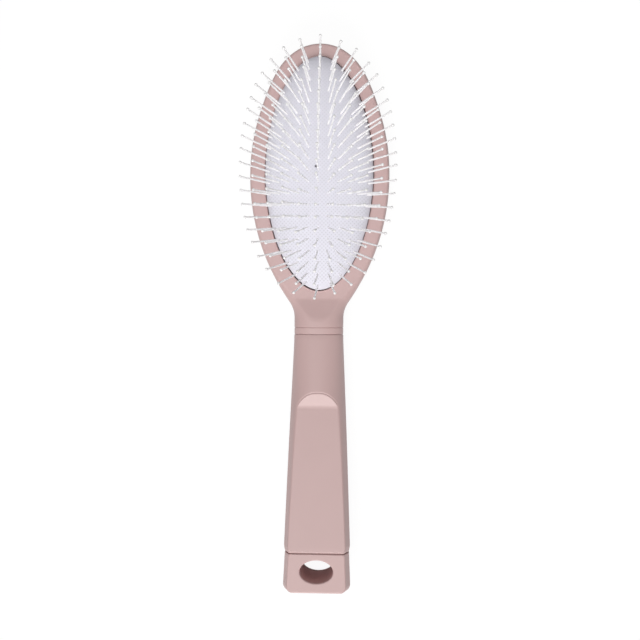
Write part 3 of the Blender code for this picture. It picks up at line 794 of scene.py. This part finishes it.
def mesh_points(mesh):
    points = np.empty(len(mesh.vertices) * 3, dtype=np.float32)
    mesh.vertices.foreach_get("co", points)
    return points.reshape(-1, 3).astype(float)


def move_points(mesh, points):
    mesh.vertices.foreach_set("co", points.astype(np.float32).ravel())


def settle(piece):
    """Put a piece's evaluated mesh in place of its own, so that no modifier is left."""
    graph = bpy.context.evaluated_depsgraph_get()
    mesh = bpy.data.meshes.new_from_object(piece.evaluated_get(graph))
    piece.modifiers.clear()
    mesh.name = piece.name
    piece.data = mesh


SWELL_CROWN_SHARE = 0.97  # crown before the swelling
SWELL_PRESSURE = 40.0
SWELL_FRAMES = 20
SWELL_CAP = 0.5 * MM  # the furthest that a point may move


def swell(piece):
    """Blow the face up like the air-backed rubber that it is: held at its side and foot, and capped."""
    start = mesh_points(piece.data)
    held = piece.vertex_groups.new(name="held")
    edge = RIM_HEIGHT + CROWN * SWELL_CROWN_SHARE * math.sqrt(1 - EDGE_SHARE**2)
    held.add(np.flatnonzero(start[:, 2] < edge + TOUCH).tolist(), 1.0, "REPLACE")
    cloth = piece.modifiers.new("swell", "CLOTH")
    cloth.settings.quality = 6
    cloth.settings.mass = 0.1
    cloth.settings.vertex_group_mass = held.name
    cloth.settings.use_pressure = True
    cloth.settings.uniform_pressure_force = SWELL_PRESSURE
    cloth.settings.effector_weights.gravity = 0
    cloth.collision_settings.use_collision = False
    cloth.point_cache.frame_end = SWELL_FRAMES
    scene = bpy.context.scene
    for step in range(1, SWELL_FRAMES + 1):
        scene.frame_set(step)
    settle(piece)
    scene.frame_set(1)
    moved = mesh_points(piece.data) - start
    length = np.linalg.norm(moved, axis=1, keepdims=True)
    move_points(piece.data, start + moved * np.minimum(1, SWELL_CAP / np.maximum(length, WELD)))
    piece.vertex_groups.clear()


def add_attribute(mesh, name, values):
    layer = mesh.attributes.new(name, "FLOAT", "POINT")
    layer.data.foreach_set("value", values.astype(np.float32))


WEAVE_END = 0.965  # the opening's level where the weave has run out
WEAVE_FADE = 0.05


def build_cushion(finish, roots):
    """The pad, swollen, divided, dimpled at each root and pierced by its vent, and the height at each root.

    A dimple's depth falls off as a smooth step of the distance to the nearest root. The attributes say
    how near a point is to a root or to the vent, where the pad's colour is darkened as painted shade, and
    where the weave runs out.
    """
    piece = make_piece("cushion_pad", [(cushion_rows(SWELL_CROWN_SHARE), False)], finish)
    swell(piece)
    divide = piece.modifiers.new("divide", "SUBSURF")
    divide.levels = divide.render_levels = 2
    settle(piece)
    points = mesh_points(piece.data)
    top = points[:, 2] > RIM_HEIGHT
    away, nearest = np.full(len(points), np.inf), []
    for x, y in roots:
        reach = np.hypot(points[:, 0] - x, points[:, 1] - y)
        away = np.minimum(away, reach)
        nearest.append(np.argmin(np.where(top, reach, np.inf)))
    vent_away = np.hypot(points[:, 0] - VENT_PLACE[0], points[:, 1] - PAD_Y - VENT_PLACE[1])
    dimple = smooth(1 - away / DIMPLE_RADIUS) * top
    vent = smooth(VENT_REACH - vent_away / VENT_RADIUS) * top
    level = opening_level(points[:, 0], points[:, 1])
    heights = points[nearest, 2]
    points[:, 2] -= dimple * DIMPLE_DEPTH + vent * VENT_DEPTH
    move_points(piece.data, points)
    # the root share darkens the pad's colour in its finish: painted shade in the dimples
    add_attribute(piece.data, "root", dimple)
    # the vent share paints the dip near black in the pad's finish: painted shade of a hole
    add_attribute(piece.data, "vent", vent)
    add_attribute(piece.data, "weave", smooth((WEAVE_END - level) / WEAVE_FADE) * top)
    piece.data.shade_smooth()
    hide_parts("cushion")
    return piece, heights


FIELD_TURN = math.radians(-0.28)
FAN_ACROSS = 23.3 * MM
FAN_ALONG = 24.5 * MM
LEAN_ALONG = 0.355
LEAN_BIAS = 0.098
LEAN_SAG = -0.130  # of the bias, towards both ends
LEAN_TWIST = -2.17
LEAN_BOW = 0.73
LEAN_SCATTER_ACROSS = 0.012
LEAN_SCATTER_ALONG = 0.030
SEED = 11
PIN_SIDES = 8
BALL_STEPS = 6


def row_roots(row):
    """Roots of one row of pins, evenly spaced across the cushion and turned a little with the field."""
    half_x, half_y = PAD_HALF_WIDTH - PIN_MARGIN_ACROSS, PAD_HALF_LENGTH - PIN_MARGIN_ALONG
    offset = half_y * row / ROWS_EACH_WAY
    if abs(row) == ROWS_EACH_WAY:
        inner = math.copysign(half_y * math.sqrt(1 - (END_PIN_SPREAD / half_x) ** 2), row)
        x, y = END_PIN_SPREAD * np.array([-1, 0, 1]), np.array([inner, offset, inner])
    else:
        reach = half_x * math.sqrt(1 - (offset / half_y) ** 2)
        each_way = round(reach / half_x * PINS_EACH_WAY)
        x, y = reach * np.arange(-each_way, each_way + 1) / each_way, offset
    x, y = turned(x, y, FIELD_TURN)
    return np.stack([x, PAD_Y + y], axis=1)


def pin_profile():
    """Radius and height of a pin: a tapered shank with a round ball at its tip."""
    ball = PIN_LENGTH - PIN_BALL_RADIUS
    start = math.pi - math.asin(PIN_NECK_RADIUS / PIN_BALL_RADIUS)
    turns = np.linspace(start, 0, BALL_STEPS)
    radius = join([[0, PIN_ROOT_RADIUS, PIN_ROOT_RADIUS], PIN_BALL_RADIUS * np.sin(turns)])
    height = join([[-PIN_DEPTH, -PIN_DEPTH, 0], ball + PIN_BALL_RADIUS * np.cos(turns)])
    return radius, height


def pin_axis(x, y, scatter):
    """The way a pin points: it leans out by its root's place, with a little scatter.

    The lean is even across, and a hyperbolic tangent along, with a bias that fades towards both ends.
    """
    dy = y - PAD_Y
    across, along = scatter.uniform(-1, 1, 2)
    bias = LEAN_BIAS + LEAN_SAG * (dy / PAD_HALF_LENGTH) ** 2
    lean_x = x / FAN_ACROSS + LEAN_BOW * dy + LEAN_SCATTER_ACROSS * across
    lean_y = LEAN_ALONG * math.tanh(dy / FAN_ALONG) + bias + LEAN_TWIST * x + LEAN_SCATTER_ALONG * along
    return Vector((lean_x, lean_y, 1)).normalized()


def build_pins(finish, rows, heights):
    """Each row of pins: the profile turned about the pin's own axis."""
    radius, height = (values[:, None, None] for values in pin_profile())
    turn = np.linspace(0, math.tau, PIN_SIDES, endpoint=False)[:, None]
    scatter = np.random.default_rng(SEED)
    left = iter(heights)
    pieces = []
    for number, roots in enumerate(rows, start=1):
        grids = []
        for x, y in roots:
            axis = pin_axis(x, y, scatter)
            side = axis.cross(Vector((0, 1, 0))).normalized()
            around = np.array(side) * np.cos(turn) + np.array(axis.cross(side)) * np.sin(turn)
            root = np.array([x, y, next(left)])
            grids.append((root + height * np.array(axis) + radius * around, False))
        piece = make_piece(f"pins_{number:02d}", grids, finish)
        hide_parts(f"pin_row_{number:02d}")
        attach(piece, "pin_bed")
        pieces.append(piece)
    return pieces


class Number:
    """A number that varies over a surface, open to plain arithmetic: each operation adds a Math node."""

    def __init__(self, nodes, socket):
        self.nodes = nodes
        self.socket = socket

    def math(self, operation, *values):
        return self.nodes.add("ShaderNodeMath", {"operation": operation}, dict(enumerate(values)))

    def __add__(self, other):
        return self.math("ADD", self, other)

    def __mul__(self, other):
        return self.math("MULTIPLY", self, other)

    def __sub__(self, other):
        return self.math("SUBTRACT", self, other)

    def __rsub__(self, other):
        return self.math("SUBTRACT", other, self)

    __radd__ = __add__
    __rmul__ = __mul__

    def sine(self):
        return self.math("SINE", self)

    def greater(self, other):
        return self.math("MAXIMUM", self, other)


class Nodes:
    """The nodes of a material or of the world."""

    def __init__(self, owner):
        owner.use_nodes = True
        self.owner = owner
        self.tree = owner.node_tree

    def add(self, kind, settings=None, values=None, output=0):
        """Any node: its settings, then the values or links of its sockets."""
        node = self.tree.nodes.new(kind)
        for key, value in (settings or {}).items():
            setattr(node, key, value)
        self.give(node, values or {})
        return Number(self, node.outputs[output])

    def give(self, node, values):
        for key, value in values.items():
            if isinstance(value, Number):
                self.tree.links.new(value.socket, node.inputs[key])
            else:
                node.inputs[key].default_value = value

    def seen(self):
        """One for what the camera sees, straight or in gloss or glass, and nought for all other light."""
        rays = ("Camera", "Glossy", "Transmission")
        camera, gloss, glass = (self.add("ShaderNodeLightPath", output=f"Is {ray} Ray") for ray in rays)
        return camera.greater(gloss).greater(glass)


def tint(colour, factor=1.0):
    return (*(c * factor for c in colour), 1.0)


class Finish(Nodes):
    """A material whose look is worked out with nodes."""

    def __init__(self, name):
        super().__init__(bpy.data.materials.new(name))
        self.shader = self.tree.nodes["Principled BSDF"]

    def axes(self):
        place = self.add("ShaderNodeTexCoord", output="Object")
        return (self.add("ShaderNodeSeparateXYZ", None, {0: place}, output=k) for k in range(3))

    def noise(self, period):
        place = self.add("ShaderNodeTexCoord", output="Object")
        values = {"Vector": place, "Scale": 1 / period, "Detail": 2.0}
        return self.add("ShaderNodeTexNoise", None, values)

    def attribute(self, name):
        return self.add("ShaderNodeAttribute", {"attribute_name": name}, output="Fac")

    def mix(self, factor, first, second):
        """A colour between two others."""
        return self.add("ShaderNodeMix", {"data_type": "RGBA"}, {0: factor, 6: first, 7: second}, output=2)

    def clouded(self, cloud, colour, share, shade=1.0):
        """A colour that a noise darkens and lightens by a share."""
        return self.mix(cloud, tint(colour, (1 - share) * shade), tint(colour, (1 + share) * shade))

    def bump(self, height, distance, strength):
        values = {"Height": height, "Distance": distance, "Strength": strength}
        return self.add("ShaderNodeBump", None, values)


CLOUD_PERIOD = 11.0 * MM

ROSE = (0.597, 0.418, 0.407)
ROSE_CLOUD = 0.02
ROSE_ROUGHNESS = 0.36
GRAIN_PERIOD = 0.38 * MM
GRAIN_DEPTH = 0.012 * MM
GRAIN_MIX = 0.10
GRAIN_SHADE = 0.80
GRAIN_ROUGHNESS = 0.08
# Colour of the hole's wall: painted shade and painted bounce light, darker and redder than the rose
WALL_ROSE_PAINTED_SHADE = (0.60, 0.36, 0.35)
WALL_ROUGHNESS = 0.58
WALL_EDGE = 1.04  # the hole's level, one on its wall, where the rougher finish ends
WALL_FADE = 16.0


def rose_plastic(name, shade=1.0, pierced=False):
    """Soft-touch moulded plastic: a faint cloudiness, a fine moulded grain and an even satin gloss.

    The wall of the hanging hole, where the piece is pierced, is left rough, and darker and redder as
    painted shade and painted bounce light in the hole: inside the oval where the sum of the squared shares
    of its half axes is under its edge.
    """
    finish = Finish(name)
    cloud = finish.noise(CLOUD_PERIOD)
    grain = finish.noise(GRAIN_PERIOD)
    colour = finish.clouded(cloud, ROSE, ROSE_CLOUD, shade)
    colour = finish.mix(grain * GRAIN_MIX, colour, tint(ROSE, GRAIN_SHADE * shade))
    rough = grain * GRAIN_ROUGHNESS + ROSE_ROUGHNESS
    if pierced:
        x, y, _ = finish.axes()
        across, along = x * (1 / HOLE_HALF_WIDTH), (y - HOLE_Y) * (1 / HOLE_HALF_LENGTH)
        inside = WALL_EDGE - (across * across + along * along)
        clamped = {"operation": "MULTIPLY", "use_clamp": True}
        wall = finish.add("ShaderNodeMath", clamped, {0: inside, 1: WALL_FADE})
        # the hole's wall takes the darker, redder rose: painted shade and painted bounce light
        colour = finish.mix(wall, colour, tint(WALL_ROSE_PAINTED_SHADE))
        rough = rough + wall * WALL_ROUGHNESS
    normal = finish.bump(grain, GRAIN_DEPTH, strength=0.6)
    values = {"Base Color": colour, "Roughness": rough, "Specular IOR Level": 0.5, "Normal": normal}
    finish.give(finish.shader, values)
    return finish.owner


PAD_FACE = (0.775, 0.770, 0.845)
# Colour of the pits, and of the pin roots: painted shade in the weave's hollows and the dimples
PAD_PIT_PAINTED_SHADE = (0.560, 0.550, 0.600)
# Colour of the vent: painted shade, as inside a hole
VENT_PAINTED_SHADE = (0.10, 0.09, 0.10)
PAD_CLOUD = 0.015
PAD_ROUGHNESS = 0.75
PIT_ROUGHNESS = 0.1
# The pits fade towards the pad's tip: painted light, which lightens the pad's far end
PIT_SHOWN = 0.75  # at the middle of the pad
PIT_FADE_PAINTED_LIGHT = 0.55  # how much less at its tip, and more at its foot
PIT_PAINTED_SHADE_MIX = 0.75
ROOT_PAINTED_SHADE_MIX = 0.55
THREAD_PERIOD = 1.15 * MM
THREAD_DEPTH = 0.05 * MM


def woven_rubber():
    """The pad's finish: pale rubber under a fine weave of two sets of threads that cross at 45 degrees.

    Between the threads lie small pits, a quarter of the product of one less either set's sine, darkened as
    painted shade in their hollows. They fade out at the pad's edge and show less towards its tip, painted
    light that lightens its far end. The roots and the vent are darker again: painted shade in the dimples
    and the hole.
    """
    finish = Finish("woven_pad")
    x, y, _ = finish.axes()
    pitch = math.tau / (THREAD_PERIOD * math.sqrt(2))
    one, other = ((x + y) * pitch).sine(), ((y - x) * pitch).sine()
    pit = (1 - one) * (1 - other) * 0.25
    # painted light: the pits show less towards the tip, so the pad is lighter there
    shown = PIT_SHOWN - (y - PAD_Y) * (PIT_FADE_PAINTED_LIGHT / PAD_HALF_LENGTH)
    weave = finish.attribute("weave")
    colour = finish.clouded(finish.noise(CLOUD_PERIOD), PAD_FACE, PAD_CLOUD)
    # darker pits between the threads: painted shade
    colour = finish.mix(pit * pit * weave * shown * PIT_PAINTED_SHADE_MIX, colour, tint(PAD_PIT_PAINTED_SHADE))
    # darker round each pin root: painted shade in its dimple
    colour = finish.mix(finish.attribute("root") * ROOT_PAINTED_SHADE_MIX, colour, tint(PAD_PIT_PAINTED_SHADE))
    # the vent painted near black: painted shade of a hole
    colour = finish.mix(finish.attribute("vent"), colour, tint(VENT_PAINTED_SHADE))
    rough = pit * PIT_ROUGHNESS + PAD_ROUGHNESS
    normal = finish.bump((1 - pit) * weave, THREAD_DEPTH, strength=0.5)
    values = {"Base Color": colour, "Roughness": rough, "Specular IOR Level": 0.3, "Normal": normal}
    finish.give(finish.shader, values)
    return finish.owner


NYLON = (0.93, 0.92, 0.93)
PLATE_GREY = (0.35, 0.33, 0.34)
MOULD_PERIOD = 3.0 * MM
MOULD_CLOUD = 0.03
MOULD_ROUGHNESS = 0.1


def moulded(name, colour, roughness, gloss=0.5, depth=0.0):
    """Plain moulded plastic, faintly cloudy, with light that soaks in to a depth."""
    finish = Finish(name)
    cloud = finish.noise(MOULD_PERIOD)
    mixed = finish.clouded(cloud, colour, MOULD_CLOUD)
    rough = cloud * MOULD_ROUGHNESS + roughness
    values = {"Base Color": mixed, "Roughness": rough, "Specular IOR Level": gloss}
    if depth:
        values |= {"Subsurface Weight": 0.7, "Subsurface Radius": (1, 1, 1), "Subsurface Scale": depth}
    finish.give(finish.shader, values)
    return finish.owner


CAMERA_PLACE = (17.36 * MM, -2.425 * MM, 399.8 * MM)
CAMERA_ROLL = math.radians(-0.3685)
CAMERA_NOD = math.radians(-0.079)
CAMERA_TILT = math.radians(-2.4814)
FOCAL_PIXELS = 884.0
IMAGE_PIXELS = 640


def build_camera():
    """The camera high over the brush, a little to its right, looking almost straight down."""
    data = bpy.data.cameras.new("camera")
    data.lens = data.sensor_width * FOCAL_PIXELS / IMAGE_PIXELS
    data.clip_start = 0.01
    camera = new_object("camera", data)
    roll = Matrix.Rotation(CAMERA_ROLL, 3, "Z")
    turn = roll @ Matrix.Rotation(CAMERA_NOD, 3, "X") @ Matrix.Rotation(CAMERA_TILT, 3, "Y")
    camera.matrix_world = Matrix.Translation(CAMERA_PLACE) @ turn.transposed().to_4x4()
    bpy.context.scene.camera = camera


# Lamps: lean from straight overhead, turn from the tail's side to the left, distance, size, power
LAMPS = {
    "overhead": (math.radians(15.0), math.radians(40.0), 2.5, 1.5, 20.0),
    "key": (math.radians(53.0), math.radians(3.0), 2.5, 1.0, 32.5),
}
LAMP_COLOUR = (1.0, 0.99, 0.98)
AMBIENT = 0.29


def build_lights(thin):
    """Two large soft lamps far off, one overhead and one low over the tail, and even light from all round.

    The thin pieces cast no shadow in the lamps' light, as pale nylon pins hardly do.
    """
    passed = bpy.data.collections.new("no_lamp_shadow")
    for piece in thin:
        passed.objects.link(piece)
    for member in passed.collection_objects:
        member.light_linking.link_state = "EXCLUDE"
    for name, (lean, turn, distance, size, power) in LAMPS.items():
        data = bpy.data.lights.new(name, "AREA")
        data.size = size
        data.energy = power
        data.color = LAMP_COLOUR
        lamp = new_object(name, data)
        lamp.light_linking.blocker_collection = passed
        low = math.sin(lean)
        way = Vector((-low * math.sin(turn), -low * math.cos(turn), math.cos(lean)))
        facing = way.to_track_quat("Z", "Y").to_matrix().to_4x4()
        lamp.matrix_world = Matrix.Translation(way * distance) @ facing
    world = bpy.data.worlds.new("world")
    bpy.context.scene.world = world
    nodes = Nodes(world)
    background = nodes.tree.nodes["Background"]
    nodes.give(background, {"Color": (1, 1, 1, 1), "Strength": nodes.seen() * (1 - AMBIENT) + AMBIENT})


FLOOR_HALF = 1.5
FLOOR_GAP = 0.05 * MM
FLOOR_TONE = 0.62
FLOOR_GLOW = 1.09
FLOOR_GLOW_SHARE = 0.86


def build_floor():
    """A pale floor that shows white, with a faint soft shadow."""
    mesh = bpy.data.meshes.new("floor")
    signs = ((-1, -1), (1, -1), (1, 1), (-1, 1))
    corners = [(FLOOR_HALF * x, FLOOR_HALF * y, -FLOOR_GAP) for x, y in signs]
    mesh.from_pydata(corners, [], [(0, 1, 2, 3)])
    floor = new_object("floor", mesh)
    finish = Finish("floor")
    tone = tint((FLOOR_TONE, FLOOR_TONE, FLOOR_TONE))
    finish.give(finish.shader, {"Base Color": tone, "Roughness": 1.0, "Specular IOR Level": 0.0})
    glow = finish.add("ShaderNodeEmission", None, {"Strength": FLOOR_GLOW})
    lit = Number(finish, finish.shader.outputs[0])
    shown = finish.add("ShaderNodeMixShader", None, {0: finish.seen() * FLOOR_GLOW_SHARE, 1: lit, 2: glow})
    finish.give(finish.tree.nodes["Material Output"], {"Surface": shown})
    mesh.materials.append(finish.owner)


def main():
    bpy.context.scene.view_settings.view_transform = "Standard"
    build_camera()
    build_floor()
    rows = [row_roots(row) for row in range(-ROWS_EACH_WAY, ROWS_EACH_WAY + 1)]
    cushion, heights = build_cushion(woven_rubber(), join(rows))
    pieces = [
        build_head(rose_plastic("rose_head")),
        build_ring(rose_plastic("rose_ring", shade=1.03)),
        build_sleeve(rose_plastic("rose_sleeve")),
        # the cap's rose is a lighter copy: painted light, as the tail end is lit more strongly
        build_cap(rose_plastic("rose_cap", shade=1.06, pierced=True)),
        cushion,
    ]
    for piece in pieces:
        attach(piece, "brush_body")
    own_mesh(cushion)
    nylon = moulded("nylon", NYLON, roughness=0.22, gloss=0.8, depth=1.0 * MM)
    build_lights(build_pins(nylon, rows, heights))
    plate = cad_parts["cushion_plate"]
    plate.data.materials.clear()
    plate.data.materials.append(moulded("plate", PLATE_GREY, roughness=0.5))


main()
